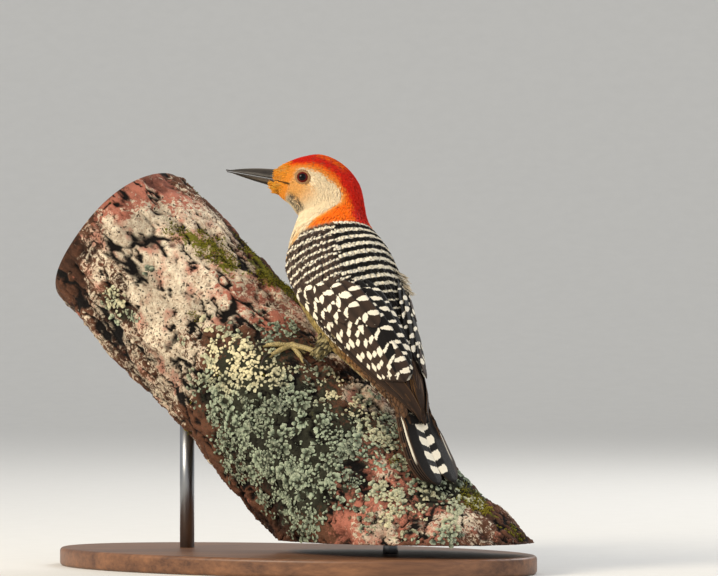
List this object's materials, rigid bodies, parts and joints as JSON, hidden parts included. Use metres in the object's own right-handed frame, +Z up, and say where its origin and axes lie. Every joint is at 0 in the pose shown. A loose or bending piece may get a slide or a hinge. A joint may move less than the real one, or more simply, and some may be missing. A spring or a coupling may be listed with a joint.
{
  "type": "red-bellied woodpecker display model",
  "caption": "Life-size male red-bellied woodpecker clinging to a sawn length of leaning limb, held on an oval base by short rods.",
  "frame": {"origin": "centre of the underside of the oval base", "axes": "+Z up; +X towards the low end of the limb, with the bird's bill towards -X; -Y towards the viewer the bird turns its left cheek to"},
  "size_m": [0.2644, 0.2127, 0.2262],
  "materials": {
    "red_plumage": "soft red and orange contour feathers of the crown and nape, cream on the cheeks",
    "cream_plumage": "soft cream and buff contour feathers",
    "barred_plumage": "black-brown feathers barred and spotted with white",
    "black_feather": "stiff black tail feathers, the middle pair barred with white",
    "bill_horn": "dark grey horn with a satin gloss",
    "eye_brown": "wet red-brown eye with a black pupil",
    "scaly_skin": "olive-grey scaled skin",
    "bark": "rough reddish-brown bark under pale and grey-green lichen, with sawn ends",
    "stand_wood": "dark stained and satin-varnished hardwood",
    "stand_steel": "satin steel rod"
  },
  "bodies": {
    "root": {"bill_lower": "bill_horn", "bill_upper": "bill_horn", "claw_left_1": "bill_horn", "claw_left_2": "bill_horn", "claw_left_3": "bill_horn", "claw_left_4": "bill_horn", "claw_right_1": "bill_horn", "claw_right_2": "bill_horn", "claw_right_3": "bill_horn", "claw_right_4": "bill_horn", "eye_left": "eye_brown", "eye_right": "eye_brown", "foot_left": "scaly_skin", "foot_right": "scaly_skin", "head": "red_plumage", "neck": "cream_plumage", "perch_limb": "bark", "shank_left": "scaly_skin", "shank_right": "scaly_skin", "stand_base": "stand_wood", "stand_rod_high": "stand_steel", "stand_rod_low": "stand_steel", "tail": "black_feather", "thigh_left": "cream_plumage", "thigh_right": "cream_plumage", "trunk": "barred_plumage", "wing_left": "barred_plumage", "wing_right": "barred_plumage"}
  },
  "joints": []
}
